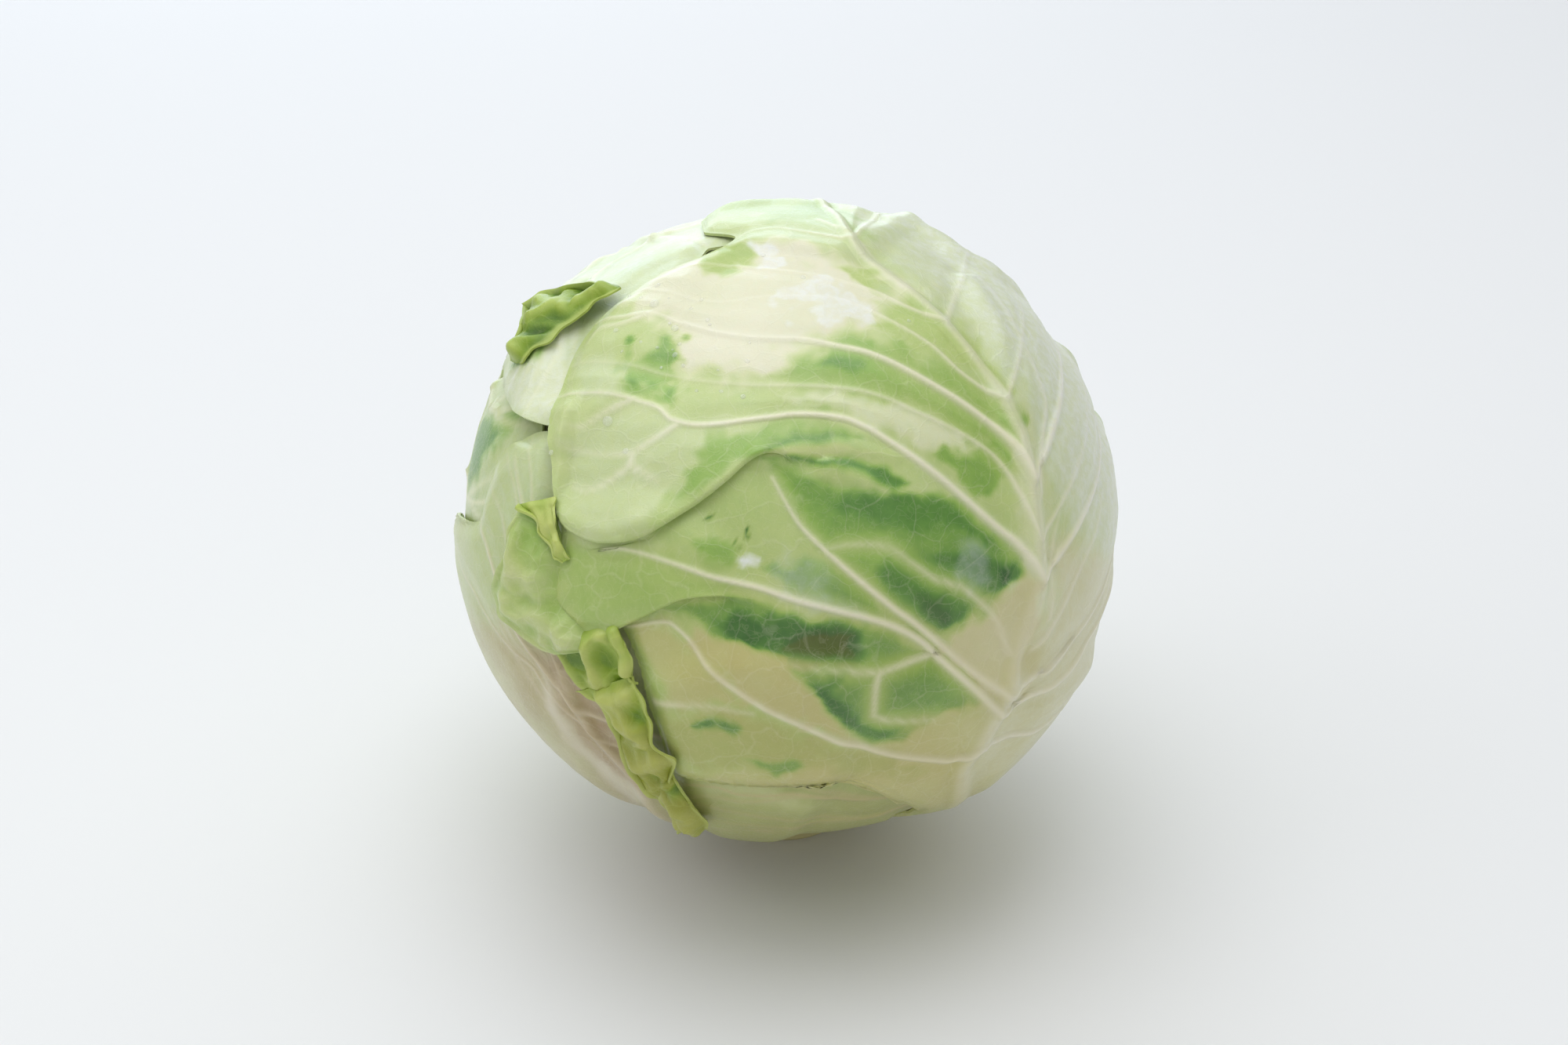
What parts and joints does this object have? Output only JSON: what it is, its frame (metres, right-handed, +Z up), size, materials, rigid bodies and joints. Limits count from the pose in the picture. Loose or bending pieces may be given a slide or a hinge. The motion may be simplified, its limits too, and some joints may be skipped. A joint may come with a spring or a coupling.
{
  "type": "cabbage head",
  "caption": "Round white cabbage head with pale green, veined wrapper leaves, one folded and crumpled at the front, on a short cut stem.",
  "frame": {"origin": "middle of the stem's cut face, on which the head rests", "axes": "+Z up through the head from the stem; -Y towards the front that the picture shows; +X to the viewer's right"},
  "size_m": [0.188, 0.1909, 0.1868],
  "materials": {
    "stem_flesh": "matte, cut across the grain",
    "packed_leaf": "satin",
    "pale_leaf": "waxy satin with raised pale veins",
    "cream_leaf": "waxy satin with a thick cream rib",
    "straw_leaf": "satin with pale veins",
    "green_leaf": "waxy satin, cream to dark green, with raised cream veins"
  },
  "bodies": {
    "root": {"stem": "stem_flesh", "inner_head": "packed_leaf", "right_leaf": "pale_leaf", "back_leaf": "pale_leaf", "far_left_leaf": "pale_leaf", "left_leaf": "cream_leaf", "upper_left_leaf": "pale_leaf", "lower_leaf": "straw_leaf", "front_leaf": "green_leaf"}
  },
  "joints": []
}
